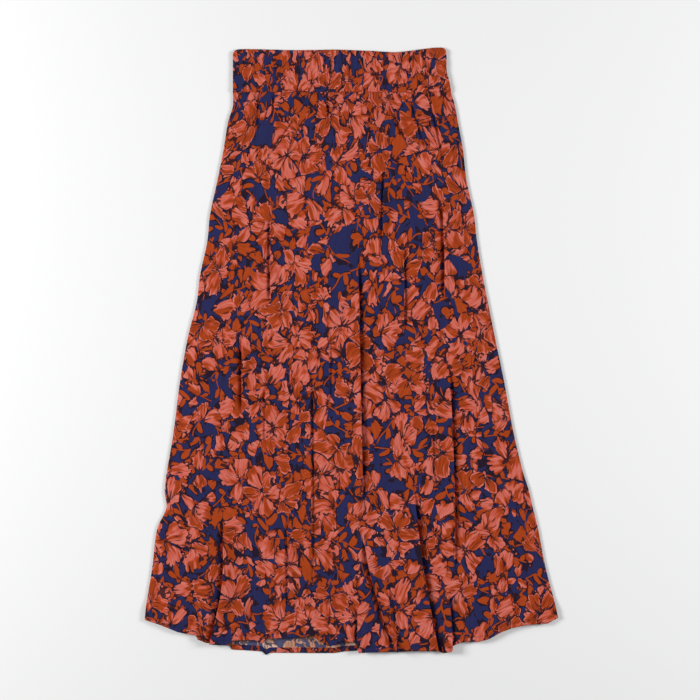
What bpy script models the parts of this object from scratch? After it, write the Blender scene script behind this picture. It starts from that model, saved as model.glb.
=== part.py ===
"""Maxi skirt laid flat: flared panels gathered into a wide elasticated waistband, with a narrow turned-up hem.

Metres, +Z up. The skirt lies on its back on the plane z = 0 with its waist towards +Y, and the origin is under the
middle of its outline. In the tables "across" is measured to the right of the origin, and "down" runs from the
waist's top edge towards the hem.
"""
import math
from collections import namedtuple

import bmesh
import bpy

# Cloth and sewing
CLOTH = 0.0012            # wall of a skirt panel
HEM_WALL = 0.0010         # wall of a turned-up hem
BAND_WALL = 0.0020        # doubled cloth over flat elastic
SEAM_GAP = 0.0003         # between pieces that are sewn together or lie on each other
HEM_DEPTH = 0.0082        # narrow hem
SIDE_TUCK = 0.0015        # the back's edges lie this far inside the front's

# Lengths
BAND_DEPTH = 0.0692       # waist edge to the seam of the skirt
SKIRT_TOP = BAND_DEPTH + SEAM_GAP / 2
BAND_BOTTOM = BAND_DEPTH - SEAM_GAP / 2

# Grids
GATHERS = 26              # soft gathers under the front of the band
COLUMNS = 3 * GATHERS     # each gather has a crest and its two sides
PUCKERS = 46              # fine upright puckers across the front of the band
SKIRT_ROWS = 28
BAND_ROWS = 6
FIRST_ROW = 0.4           # an extra row of the skirt lies this part of a row below the seam, for the gathers' puff
BACK_BAND_SKIP = 4        # the back of the band takes every fourth point of the front's top edge

# Loft of the front panel over the back panel
AIR = 0.0016              # trapped air lifts the middle of the front panel
EDGE_RISE = 0.030         # distance from a side edge over which it lifts
HEM_LIFT = 2 * (HEM_WALL + SEAM_GAP)   # the front lies on both turned-up hems
HEM_RISE = 0.035          # distance above the hem over which it climbs on to the turned-up hems
WAVE = 0.0009             # broad swells left in the flare, where two waves cross
WAVE_TOP = 0.2            # the swells begin this far down
WAVE_RISE = 0.3           # and reach their height over this distance
GATHER_HEIGHT = 0.0024
GATHER_REACH = 0.085
GATHER_HALF_WIDTH = 0.62  # of the distance between two gathers
GATHER_PUFF = 0.010       # a gather swells to its height over this distance below the seam
GATHER_AT_SEAM = 0.35     # part of its height that it has in the seam
PUCKER_HEIGHT = 0.0011
PUCKER_LEAN = 2.2         # how far the unevenness of the puckers shifts from the top of the band to its seam
RIM = 0.55                # the band's wall thins to this at its top and side edges

# How a row of gathers or puckers varies: each has base + swing * sin(turn * its number + start) of the usual
Uneven = namedtuple("Uneven", "base swing turn start")
GATHER_PLACE = Uneven(0.5, 0.18, 2.4, 0.0)
GATHER_LENGTH = Uneven(1.0, 0.55, 1.7, 0.6)
GATHER_DEPTH = Uneven(0.75, 0.35, 2.9, math.pi / 2)
PUCKER_DEPTH = Uneven(0.65, 0.35, 1.9, 0.0)

# The two waves of the flare's swells, in radians for each metre
Wave = namedtuple("Wave", "across down")
FIRST_WAVE = Wave(34.0, 2.5)
SECOND_WAVE = Wave(-21.0, 9.0)

Station = namedtuple("Station", "down left right")
STATIONS = [
    Station(0.0692, -0.1929, 0.1620), Station(0.0920, -0.1929, 0.1685), Station(0.1148, -0.2002, 0.1726),
    Station(0.1636, -0.2084, 0.1815), Station(0.2125, -0.2182, 0.1872), Station(0.2694, -0.2304, 0.1994),
    Station(0.3101, -0.2344, 0.2040), Station(0.3671, -0.2466, 0.2133), Station(0.4078, -0.2515, 0.2214),
    Station(0.4664, -0.2662, 0.2331), Station(0.5397, -0.2792, 0.2483), Station(0.6227, -0.2898, 0.2637),
    Station(0.6846, -0.3004, 0.2784), Station(0.7155, -0.3040, 0.2882), Station(0.7432, -0.3012, 0.2947),
    Station(0.7757, -0.3158, 0.3028), Station(0.8392, -0.3240, 0.3150), Station(0.9011, -0.3337, 0.3305),
    Station(0.9272, -0.3362, 0.3362),
]

EdgePoint = namedtuple("EdgePoint", "across down")
WAIST_EDGE = [
    EdgePoint(-0.1929, 0.0062), EdgePoint(-0.1905, 0.0022), EdgePoint(-0.1860, 0.0000), EdgePoint(-0.1734, -0.0008),
    EdgePoint(-0.0838, 0.0008), EdgePoint(-0.0269, 0.0000), EdgePoint(0.0383, 0.0024), EdgePoint(0.0708, 0.0041),
    EdgePoint(0.1034, 0.0008), EdgePoint(0.1278, -0.0024), EdgePoint(0.1457, -0.0033), EdgePoint(0.1520, -0.0010),
    EdgePoint(0.1545, 0.0040),
]
BAND_SIDE_RIGHT = [EdgePoint(0.1545, 0.0040), EdgePoint(0.1548, 0.0350), EdgePoint(0.1600, 0.0540),
                   EdgePoint(0.1620, 0.0692)]
FRONT_HEM = [
    EdgePoint(-0.3362, 0.9272), EdgePoint(-0.3101, 0.9353), EdgePoint(-0.2825, 0.9467), EdgePoint(-0.2523, 0.9524),
    EdgePoint(-0.2499, 0.9589), EdgePoint(-0.2352, 0.9646), EdgePoint(-0.1986, 0.9691), EdgePoint(-0.1952, 0.9605),
    EdgePoint(-0.1571, 0.9597), EdgePoint(-0.1457, 0.9654), EdgePoint(-0.1359, 0.9573), EdgePoint(-0.0838, 0.9556),
    EdgePoint(-0.0643, 0.9516), EdgePoint(-0.0513, 0.9621), EdgePoint(-0.0383, 0.9695), EdgePoint(-0.0236, 0.9678),
    EdgePoint(-0.0138, 0.9630), EdgePoint(0.0098, 0.9638), EdgePoint(0.0138, 0.9804), EdgePoint(0.0790, 0.9784),
    EdgePoint(0.1376, 0.9766), EdgePoint(0.1490, 0.9809), EdgePoint(0.1604, 0.9784), EdgePoint(0.1640, 0.9700),
    EdgePoint(0.1750, 0.9646), EdgePoint(0.1880, 0.9621), EdgePoint(0.2043, 0.9630), EdgePoint(0.2239, 0.9581),
    EdgePoint(0.2418, 0.9477), EdgePoint(0.2605, 0.9402), EdgePoint(0.2841, 0.9353), EdgePoint(0.3183, 0.9330),
    EdgePoint(0.3362, 0.9239),
]
# The back hem where it shows below the front one, with the pinch that pokes out of it
BACK_HEM_SHOWING = [
    EdgePoint(-0.1962, 0.9752), EdgePoint(-0.1734, 0.9763), EdgePoint(-0.1457, 0.9783), EdgePoint(-0.1392, 0.9842),
    EdgePoint(-0.1327, 0.9804), EdgePoint(-0.0545, 0.9809), EdgePoint(-0.0269, 0.9809), EdgePoint(-0.0138, 0.9784),
    EdgePoint(0.0098, 0.9768),
]

# Folds of the front panel. Each runs from its first point through its middle one to its last. It rises over the
# steep width on one side, +1 for the right, and dies away over the soft width on the other. Those that end past
# the hem run out through it.
Fold = namedtuple("Fold", "name down0 across0 down1 across1 down2 across2 height steep soft side")
FOLDS = [
    Fold("centre", 0.307, 0.0073, 0.522, 0.0114, 0.780, 0.0171, 0.0055, 0.006, 0.028, 1),
    Fold("centre_tail", 0.782, 0.0187, 0.877, 0.0399, 0.990, 0.0790, 0.0050, 0.007, 0.022, -1),
    Fold("tail_edge", 0.860, 0.0540, 0.930, 0.0660, 0.990, 0.0790, 0.0030, 0.006, 0.016, 1),
    Fold("left_hip", 0.260, -0.1294, 0.345, -0.1294, 0.425, -0.1290, 0.0040, 0.006, 0.018, -1),
    Fold("right_waist", 0.180, 0.0580, 0.253, 0.0545, 0.325, 0.0529, 0.0035, 0.006, 0.016, -1),
    Fold("right_inner", 0.300, 0.0803, 0.383, 0.0830, 0.470, 0.0838, 0.0035, 0.006, 0.016, 1),
    Fold("right_hip", 0.230, 0.1500, 0.326, 0.1538, 0.420, 0.1538, 0.0048, 0.007, 0.020, -1),
    Fold("right_thigh", 0.490, 0.1550, 0.685, 0.1636, 0.870, 0.1655, 0.0052, 0.006, 0.024, 1),
    Fold("left_thigh", 0.455, -0.1750, 0.530, -0.1755, 0.605, -0.1750, 0.0048, 0.006, 0.020, -1),
    Fold("left_inner", 0.535, -0.1376, 0.590, -0.1372, 0.650, -0.1370, 0.0028, 0.006, 0.014, -1),
    Fold("left_long", 0.480, -0.0700, 0.700, -0.0676, 0.900, -0.0676, 0.0028, 0.006, 0.016, 1),
    Fold("right_sweep", 0.700, 0.0970, 0.825, 0.1105, 0.990, 0.1400, 0.0065, 0.006, 0.028, 1),
    Fold("left_knee", 0.745, -0.2062, 0.870, -0.2068, 0.990, -0.2330, 0.0060, 0.006, 0.026, -1),
    Fold("left_low", 0.750, -0.1018, 0.831, -0.1001, 0.920, -0.1018, 0.0034, 0.006, 0.018, -1),
    Fold("middle_soft", 0.440, -0.0383, 0.512, -0.0383, 0.585, -0.0383, 0.0024, 0.006, 0.014, 1),
    Fold("right_soft", 0.600, 0.1278, 0.655, 0.1290, 0.715, 0.1311, 0.0024, 0.006, 0.014, 1),
    Fold("tongue", 0.880, 0.1560, 0.935, 0.1600, 0.990, 0.1625, 0.0040, 0.005, 0.014, 1),
    Fold("hem_step", 0.900, 0.0120, 0.945, 0.0122, 0.990, 0.0122, 0.0040, 0.005, 0.020, -1),
]
FOLD_FADE = 0.22          # part of a fold's length over which each end dies away
HEM_PAST = 0.985          # a fold whose last point is further down than this has no lower end

LOWEST = max(place.down for place in BACK_HEM_SHOWING)
HIGHEST = min(place.down for place in WAIST_EDGE)
MIDDLE_DOWN = (LOWEST + HIGHEST) / 2

# Looks
SKIRT_COLOUR = (0.36, 0.09, 0.045)
BAND_COLOUR = (0.30, 0.08, 0.05)
ROUGHNESS = 0.8
SHARP_ANGLE = math.radians(50)


def ease(value):
    """Smooth step from 0 to 1."""
    value = max(0.0, min(1.0, value))
    return value * value * (3 - 2 * value)


def straight(points, at, of, key):
    """Read column `key` of a table at the place `at` in column `of`, in straight stretches."""
    for first, second in zip(points, points[1:]):
        a, b = getattr(first, of), getattr(second, of)
        if at <= b:
            part = max(0.0, (at - a) / (b - a))
            return getattr(first, key) * (1 - part) + getattr(second, key) * part
    return getattr(points[-1], key)


def rounded(points, at, of, key):
    """The same, along a smooth curve through the table's rows."""
    last = len(points) - 1
    row = 0
    while row < last - 1 and at > getattr(points[row + 1], of):
        row += 1
    near = [points[max(0, min(last, row + k))] for k in (-1, 0, 1, 2)]
    x0, x1, x2, x3 = (getattr(place, of) for place in near)
    y0, y1, y2, y3 = (getattr(place, key) for place in near)
    part = max(0.0, min(1.0, (at - x1) / (x2 - x1)))
    start = (y2 - y0) / (x2 - x0) * (x2 - x1)
    finish = (y3 - y1) / (x3 - x1) * (x2 - x1)
    squared, cubed = part ** 2, part ** 3
    return ((2 * cubed - 3 * squared + 1) * y1 + (cubed - 2 * squared + part) * start
            + (3 * squared - 2 * cubed) * y2 + (cubed - squared) * finish)


def left_edge(down):
    return rounded(STATIONS, down, "down", "left")


def right_edge(down):
    return rounded(STATIONS, down, "down", "right")


def front_hem(across):
    return straight(FRONT_HEM, across, "across", "down")


def back_hem(across):
    if BACK_HEM_SHOWING[0].across <= across <= BACK_HEM_SHOWING[-1].across:
        return straight(BACK_HEM_SHOWING, across, "across", "down")
    return front_hem(across) - SIDE_TUCK


def fold_height(fold, across, down):
    """Height that one fold adds at a place on the front panel."""
    if not fold.down0 < down < fold.down2:
        return 0.0
    part = (down - fold.down0) / (fold.down2 - fold.down0)
    swell = ease(part / FOLD_FADE)
    if fold.down2 < HEM_PAST:
        swell *= ease((1 - part) / FOLD_FADE)
    path = [EdgePoint(fold.across0, fold.down0), EdgePoint(fold.across1, fold.down1),
            EdgePoint(fold.across2, fold.down2)]
    offset = (across - rounded(path, down, "down", "across")) * fold.side
    width = fold.steep if offset > 0 else fold.soft
    return fold.height * swell * ease(1 - abs(offset) / width)


def uneven(pattern, number):
    return pattern.base + pattern.swing * math.sin(pattern.turn * number + pattern.start)


def gather_height(share, down):
    """Height of the gathers at `share` of the panel's width: uneven in depth, in length and in spacing."""
    below = down - SKIRT_TOP
    swell = GATHER_AT_SEAM + (1 - GATHER_AT_SEAM) * ease(below / GATHER_PUFF)
    height = 0.0
    for index in range(GATHERS):
        offset = abs(share * GATHERS - index - uneven(GATHER_PLACE, index))
        reach = GATHER_REACH * uneven(GATHER_LENGTH, index)
        depth = GATHER_HEIGHT * uneven(GATHER_DEPTH, index)
        height += depth * ease(1 - offset / GATHER_HALF_WIDTH) * (1 - ease(below / reach))
    return height * swell


def front_under(share, across, down):
    """Height of the front panel's inside above the ground."""
    left, right = left_edge(down), right_edge(down)
    inside = min(across - left, right - across)
    hem = ease(1 - (front_hem(across) - down - HEM_DEPTH) / HEM_RISE)
    swells = 1 + (math.sin(FIRST_WAVE.across * across + FIRST_WAVE.down * down)
                  * math.cos(SECOND_WAVE.across * across + SECOND_WAVE.down * down))
    height = CLOTH + SEAM_GAP + HEM_LIFT * hem
    height += ease(inside / EDGE_RISE) * (AIR + WAVE * swells * ease((down - WAVE_TOP) / WAVE_RISE))
    height += sum(fold_height(fold, across, down) for fold in FOLDS)
    return height + gather_height(share, down)


def skirt_place(share, row_part, hem, tuck=0.0):
    """Across and down of a point of a skirt panel, at a share of its width and of its length."""
    side_down = SKIRT_TOP + row_part * (STATIONS[-1].down - SKIRT_TOP)
    across = (left_edge(side_down) + tuck) * (1 - share) + (right_edge(side_down) - tuck) * share
    foot = (STATIONS[-1].left + tuck) * (1 - share) + (STATIONS[-1].right - tuck) * share
    down = SKIRT_TOP + row_part * (hem(foot) - SKIRT_TOP)
    return across, down


def raised(across, down, height):
    """The point at a height over a place."""
    return across, MIDDLE_DOWN - down, height


def wall(name, lower, upper, material):
    """Closed wall between two grids of points, rows from waist to hem and columns from left to right."""
    bm = bmesh.new()
    floor = [[bm.verts.new(corner) for corner in row] for row in lower]
    roof = [[bm.verts.new(corner) for corner in row] for row in upper]
    rows, columns = len(lower), len(lower[0])
    for r in range(rows - 1):
        for c in range(columns - 1):
            bm.faces.new((roof[r][c], roof[r + 1][c], roof[r + 1][c + 1], roof[r][c + 1]))
            bm.faces.new((floor[r][c], floor[r][c + 1], floor[r + 1][c + 1], floor[r + 1][c]))
    rim = [(0, c) for c in range(columns)] + [(r, columns - 1) for r in range(1, rows)]
    rim += [(rows - 1, c) for c in range(columns - 2, -1, -1)] + [(r, 0) for r in range(rows - 2, 0, -1)]
    for here, there in zip(rim, rim[1:] + rim[:1]):
        bm.faces.new((floor[here[0]][here[1]], roof[here[0]][here[1]],
                      roof[there[0]][there[1]], floor[there[0]][there[1]]))
    bmesh.ops.recalc_face_normals(bm, faces=bm.faces)
    return finish(name, bm, material)


def flat_piece(name, outline, bottom, thickness, material):
    """Flat piece of cloth: its outline, in order round the edge, raised to its thickness."""
    bm = bmesh.new()
    face = bm.faces.new([bm.verts.new(raised(*place, bottom)) for place in outline])
    grown = bmesh.ops.extrude_face_region(bm, geom=[face])
    top = [element for element in grown["geom"] if isinstance(element, bmesh.types.BMVert)]
    bmesh.ops.translate(bm, verts=top, vec=(0, 0, thickness))
    bmesh.ops.recalc_face_normals(bm, faces=bm.faces)
    return finish(name, bm, material)


def finish(name, bm, material):
    mesh = bpy.data.meshes.new(name)
    bm.to_mesh(mesh)
    bm.free()
    mesh.shade_smooth()
    mesh.set_sharp_from_angle(angle=SHARP_ANGLE)
    mesh.materials.append(material)
    piece = bpy.data.objects.new(name, mesh)
    skirt.objects.link(piece)
    return piece


def cloth_material(name, colour):
    material = bpy.data.materials.new(name)
    material.use_nodes = True
    shader = material.node_tree.nodes["Principled BSDF"]
    shader.inputs["Base Color"].default_value = (*colour, 1)
    shader.inputs["Roughness"].default_value = ROUGHNESS
    shader.inputs["Metallic"].default_value = 0.0
    return material


def front_grids():
    """The front panel's inside and outside. The wall is thicker upwards where it is steep, so that it stays even."""
    hem_step = HEM_DEPTH / (FRONT_HEM[0].down - SKIRT_TOP)
    parts = [r / SKIRT_ROWS * (1 - hem_step) for r in range(SKIRT_ROWS + 1)] + [1.0]
    parts.insert(1, parts[1] * FIRST_ROW)
    places = [[skirt_place(c / COLUMNS, part, front_hem) for c in range(COLUMNS + 1)] for part in parts]
    lower = [[raised(*place, front_under(c / COLUMNS, *place)) for c, place in enumerate(row)] for row in places]
    upper = []
    for row in lower:
        line = []
        for c, (x, y, z) in enumerate(row):
            before, after = row[max(0, c - 1)], row[min(COLUMNS, c + 1)]
            slope = (after[2] - before[2]) / (after[0] - before[0])
            line.append((x, y, z + CLOTH * math.sqrt(1 + slope * slope)))
        upper.append(line)
    return lower, upper


def build_front(material):
    lower, upper = front_grids()
    wall("skirt_front", lower, upper, material)
    top = []
    for row in lower[-2:]:
        (x0, y0, z0), (x1, y1, z1) = row[0], row[-1]
        row = [(x0 + SIDE_TUCK, y0, z0)] + row[1:-1] + [(x1 - SIDE_TUCK, y1, z1)]
        top.append([(x, y, z - SEAM_GAP) for x, y, z in row])
    base = [[(x, y, z - HEM_WALL) for x, y, z in row] for row in top]
    wall("hem_front", base, top, material)


def build_back(material):
    sides = [station.down for station in STATIONS[1:-1]]
    length = STATIONS[-1].down - SKIRT_TOP
    parts = [0.0] + [(down - SKIRT_TOP) / length for down in sides]
    outline = [skirt_place(0.0, part, back_hem, SIDE_TUCK) for part in parts]
    outline += [skirt_place(c / COLUMNS, 1.0, back_hem, SIDE_TUCK) for c in range(COLUMNS + 1)]
    outline += [skirt_place(1.0, part, back_hem, SIDE_TUCK) for part in reversed(parts)]
    flat_piece("skirt_back", outline, 0.0, CLOTH, material)
    hem = [skirt_place(c / COLUMNS, 1.0, back_hem, SIDE_TUCK) for c in range(COLUMNS + 1)]
    bottom = CLOTH + SEAM_GAP
    base = [[raised(across, down - depth, bottom) for across, down in hem] for depth in (HEM_DEPTH, 0.0)]
    top = [[(x, y, z + HEM_WALL) for x, y, z in row] for row in base]
    wall("hem_back", base, top, material)


def band_place(share, row_part):
    """Across and down of a point of the waistband, whose right side leans out a little."""
    left = WAIST_EDGE[0].across
    top_across = left + share * (WAIST_EDGE[-1].across - left)
    top_down = rounded(WAIST_EDGE, top_across, "across", "down")
    down = top_down + row_part * (BAND_BOTTOM - top_down)
    right = straight(BAND_SIDE_RIGHT, down, "down", "across")
    return left + share * (right - left), down


def build_band(material):
    columns = 2 * PUCKERS
    bottom = BAND_WALL + SEAM_GAP
    lower, upper = [], []
    for row in range(BAND_ROWS + 1):
        part = row / BAND_ROWS
        places = [band_place(c / columns, part) for c in range(columns + 1)]
        lower.append([raised(*place, bottom) for place in places])
        line = []
        for c, place in enumerate(places):
            crest = c % 2 * uneven(PUCKER_DEPTH, c + PUCKER_LEAN * part / PUCKER_DEPTH.turn)
            rim = RIM if c in (0, columns) or row == 0 else 1.0
            line.append(raised(*place, bottom + BAND_WALL * rim + PUCKER_HEIGHT * crest))
        upper.append(line)
    wall("waistband_front", lower, upper, material)
    edge = [band_place(c / columns, 0.0) for c in range(0, columns + 1, BACK_BAND_SKIP)]
    inset_left, inset_right = edge[0][0] + SEAM_GAP, WAIST_EDGE[-1].across - SEAM_GAP
    outline = [(inset_left, BAND_BOTTOM), (inset_left, edge[0][1] + SEAM_GAP)]
    outline += [(across, down + SEAM_GAP) for across, down in edge[1:-1]]
    outline += [(inset_right, edge[-1][1] + SEAM_GAP)]
    outline += [(side.across - SEAM_GAP, side.down) for side in BAND_SIDE_RIGHT[1:-1]]
    outline += [(BAND_SIDE_RIGHT[-1].across - SEAM_GAP, BAND_BOTTOM)]
    flat_piece("waistband_back", outline, 0.0, BAND_WALL, material)


for old in list(bpy.data.objects):
    bpy.data.objects.remove(old)
skirt = bpy.data.collections.new("maxi_skirt")
bpy.context.scene.collection.children.link(skirt)
printed = cloth_material("printed_viscose", SKIRT_COLOUR)
banded = cloth_material("ruched_viscose", BAND_COLOUR)
build_back(printed)
build_front(printed)
build_band(banded)
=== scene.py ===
import math
from collections import namedtuple

import bpy
import numpy as np
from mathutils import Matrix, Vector, noise


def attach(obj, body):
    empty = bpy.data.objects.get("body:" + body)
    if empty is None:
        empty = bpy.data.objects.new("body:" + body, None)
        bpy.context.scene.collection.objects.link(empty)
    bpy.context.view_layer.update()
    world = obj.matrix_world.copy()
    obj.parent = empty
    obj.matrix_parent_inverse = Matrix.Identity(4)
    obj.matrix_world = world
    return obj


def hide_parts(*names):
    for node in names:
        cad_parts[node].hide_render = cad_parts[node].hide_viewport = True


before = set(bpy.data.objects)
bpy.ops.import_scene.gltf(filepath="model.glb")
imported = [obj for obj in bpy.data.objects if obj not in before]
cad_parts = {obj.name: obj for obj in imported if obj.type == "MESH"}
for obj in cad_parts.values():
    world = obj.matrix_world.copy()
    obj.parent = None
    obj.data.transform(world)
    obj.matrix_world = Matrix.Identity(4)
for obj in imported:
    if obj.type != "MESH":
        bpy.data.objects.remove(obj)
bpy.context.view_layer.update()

# Camera, surface and light
# The skirt lies on a plain pale surface. It is seen from straight above through a long lens, in the even
# light of two soft lamps, one at each side, of which the left one is a little stronger.
CAMERA_HEIGHT = 3.0
VIEW_WIDTH = 1.1396          # how much of the surface the frame takes in
VIEW_CENTRE = (-0.0024, 0.0020)
SENSOR_MM = 36.0
SURFACE_SIZE = 8.0
SURFACE_DROP = 0.0004        # the surface lies just under the skirt
SURFACE_COLOUR = "#ebebeb"
SKY_COLOUR = "#fdfdff"
Lamp = namedtuple("Lamp", "name place size watts")
LAMPS = [Lamp("left_lamp", (-2.6, 0.35, 1.55), 1.0, 87.0), Lamp("right_lamp", (2.6, 0.25, 1.55), 1.0, 64.0)]
WORLD_STRENGTH = 0.24

scene = bpy.context.scene
scene.view_settings.view_transform = "Standard"


def linear(hex_colour):
    """An sRGB hex colour as the linear colour, with alpha, that a shader takes."""
    parts = [int(hex_colour[i:i + 2], 16) / 255 for i in (1, 3, 5)]
    return (*(c / 12.92 if c <= 0.04045 else ((c + 0.055) / 1.055) ** 2.4 for c in parts), 1.0)


def add(tree, kind, *inputs, out=0, named=None, **settings):
    """Add a node with its settings, link or set its inputs in order or by name, and give one output.

    A shader node's kind goes without its first word.
    """
    node = tree.nodes.new(kind if "Node" in kind else "ShaderNode" + kind)
    for name, value in settings.items():
        setattr(node, name, value)
    pairs = list(zip([socket for socket in node.inputs if socket.enabled], inputs))
    pairs += [(node.inputs[name], value) for name, value in (named or {}).items()]
    for socket, value in pairs:
        if isinstance(value, bpy.types.NodeSocket):
            tree.links.new(value, socket)
        elif value is not None:
            socket.default_value = value
    if isinstance(out, str):
        return node.outputs[out]
    outputs = [socket for socket in node.outputs if socket.enabled]
    return outputs[out] if outputs else None


def new_material(name):
    """An empty node material and its tree."""
    material = bpy.data.materials.new(name)
    material.use_nodes = True
    material.node_tree.nodes.clear()
    return material, material.node_tree


def link_object(name, data):
    piece = bpy.data.objects.new(name, data)
    scene.collection.objects.link(piece)
    return piece


camera_data = bpy.data.cameras.new("camera")
camera_data.sensor_width = SENSOR_MM
camera_data.lens = SENSOR_MM * CAMERA_HEIGHT / VIEW_WIDTH
camera = link_object("camera", camera_data)
camera.location = (*VIEW_CENTRE, CAMERA_HEIGHT)
scene.camera = camera

surface_mesh = bpy.data.meshes.new("surface")
half = SURFACE_SIZE / 2
corners = [(-half, -half), (half, -half), (half, half), (-half, half)]
surface_mesh.from_pydata([(x, y, -SURFACE_DROP) for x, y in corners], [], [(0, 1, 2, 3)])
surface = link_object("surface", surface_mesh)
# Wall paint, rolled on: even and matt, with hardly any gloss
painted_board, tree = new_material("matt_painted_board")
board = add(tree, "BsdfPrincipled", named={"Base Color": linear(SURFACE_COLOUR), "Roughness": 0.9,
                                           "Specular IOR Level": 0.2})
add(tree, "OutputMaterial", board)
surface_mesh.materials.append(painted_board)

for lamp in LAMPS:
    lamp_data = bpy.data.lights.new(lamp.name, "AREA")
    lamp_data.size = lamp.size
    lamp_data.energy = lamp.watts
    lamp_object = link_object(lamp.name, lamp_data)
    lamp_object.location = lamp.place
    lamp_object.rotation_euler = (-Vector(lamp.place)).to_track_quat("-Z", "Y").to_euler()

world = bpy.data.worlds.new("studio")
scene.world = world
world.use_nodes = True
sky = world.node_tree.nodes["Background"]
sky.inputs["Color"].default_value = linear(SKY_COLOUR)
sky.inputs["Strength"].default_value = WORLD_STRENGTH

# Printed viscose
# A plain-weave viscose with an all-over painted floral print: rust and salmon blossoms, leaves and thin stems
# on navy. It is matt, with a faint sheen along the weave. The dye shows through paler on the wrong side.
Palette = namedtuple("Palette", "navy pale pink flame rust ember dark")
RIGHT_SIDE = Palette("#242856", "#ce7265", "#c25948", "#b14529", "#a23e10", "#7c240d", "#200f1a")
WRONG_SIDE = Palette("#4c4f74", "#dcbcaa", "#d2a593", "#c6927a", "#bd8668", "#9c705e", "#4c4656")
RAMP = (0.04, 0.26, 0.42, 0.54, 0.96)    # where the five petal colours lie, from pale to ember

# Layers of the print, lowest first: mm and radians. A kind from 0 to 1 is a petal with a pale rim, from 1 to
# 2 one with flames from its base, and from 2 to 3 a plain leaf.
Motif = namedtuple("Motif", "pitch turn shift petals reach breadth missing jitter kind0 kind1")
MOTIFS = [
    Motif(38, 1.9, 430.0, 3, 21.0, 0.34, 0.38, 0.60, 1.2, 2.8),
    Motif(56, 1.3, 830.0, 4, 27.0, 0.40, 0.52, 0.60, 1.2, 2.4),
    Motif(66, 0.4, 0.0, 5, 31.0, 0.40, 0.43, 0.60, 0.6, 2.15),
    Motif(66, 0.4, 693.0, 4, 32.0, 0.44, 0.36, 0.60, 0.2, 1.95),
]
UPRIGHT = 1.20               # the motifs are longer along the cloth than across it by this much
OUTLINE_MM = (-2.5, 9.2)     # width of the dark line round a petal: this, plus this by a chance from 0 to 1
PATCH_PITCH_MM = 13.0        # the line's width changes over this distance
BORDER_MM = 0.8              # petals stop this far from the border between two motifs
PETAL_LENGTH = (0.45, 0.70)  # length in parts of the reach: this by a chance from 0 to 1, plus this
PETAL_TILT = 0.3             # part of its sector over which a petal may lean
PETAL_TAPER = (0.8, 0.4)     # half width in breadths: this by the part of the length, plus this
PETAL_WIDEST = 0.55          # part of the length where a petal is widest
PETAL_WIDTH = 0.8
WHORL = (0.9, 0.5)           # part of the petals that a motif keeps: this by a chance from 0 to 1, plus this
OWN_KIND = 0.25              # how much of a petal's kind is its own and not its motif's
FAR_MM = 100.0               # what is left out is moved as far outside its edge as this
GRAIN_JUMP_MM = 900.0        # each petal takes its brush strokes from a place of its own, as far off as this
LOBE_MM = (6.4, 8.0)         # a petal's edge ends in round lobes of this width and length
LOBE_REACH_MM = 5.5          # how far the lobes reach out
LOBE_GROWTH = (0.2, 0.9)     # parts of the petal's length between which they grow from short to long
LOBE_CUT = 0.42              # how far from its centre, in its widths, a lobe ends
FLAME_MM = (8.0, 22.0)       # width and length of the pink flames in a petal
STREAK_MM = (2.1, 18.0)      # width and length of the finer streaks in them
SWAY_MM = 11.0               # the whole drawing is bent to and fro by this
SWAY_PITCH_MM = 46.0
RIM_MM = 4.4                 # width of a petal's pale rim, and how far it goes in and out
RIM_OUTWARD = 0.35           # part of that by which it may stay out altogether
RIM_EDGE_MM = (-0.6, 1.6)    # it turns into the petal's own tone from this to this far inside it
RIM_TONE = 0.12              # tones are places on the ramp of petal colours
BODY_TONE = 0.66
HEART_LIFT = 0.32            # how much paler the middle of a rimmed petal is
HEART = (0.02, 0.12)         # and where: the broad noise's excess over its mean, from this to this
FLAME_TONE = 0.18
FLAME_SHIFT = (31.0, 17.0, 0)    # keeps the flames' noise apart from the streaks'
FLAME_RUN = (-2.0, 1.6)      # flames thin out towards the tip or towards the base, from kind 1 to kind 2
FLAME_PLAY = 4.0
FLAME_EDGE = (-0.72, 0.12)
LEAF_TONE = 0.56
BRUSH_PLAY = (0.46, 0.22)    # how far brush strokes change a petal's tone, and how much less a leaf's
THROAT = (0.8, -0.24)        # length of the dark throat: this by a streak's strength, plus this
THROAT_EDGE = (-0.03, 0.04)
THROAT_DARK = 0.9
OUTLINE_DARK = 0.9
VEIN = (0.75, 0.78, 0.8)     # streaks from this to this strong turn into dark veins as dense as this
SPRIG_PITCH_MM = 32.0        # distance between the scattered sprigs
SPRIG_JITTER = 0.8
SPRIG_MM = 48.0              # length of a sprig's stem
SPRIG_BEND = 0.012
STEM_MM = 1.8
LEAF_PITCH_MM = 16.0         # distance between leaves on one side of the stem
LEAF_START = 0.16
LEAF_MM = (6.8, 14.5)        # width and length of a sprig's leaf
LEAF_SIZE = (0.5, 0.7)       # and its own size in parts of that: this by a chance from 0 to 1, plus this
LEAF_STALK_MM = 0.5
LEAF_MISSING = 0.2
LEAF_ANGLE = 0.85
SLUB_MM = (1.1, 70.0)        # width and length of the darker threads that show in the navy
SLUB_EDGE = (0.35, 0.75)
SLUB_DARK = 0.40
CRINKLE_MM = 5.0
CRINKLE_HEIGHT = 1.2         # in parts of the weave's height
THREAD_MM = 0.9              # thread spacing, three times the real one so that it shows
MM_IN_METRE = 1000.0
TURN = 2 * math.pi


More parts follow.
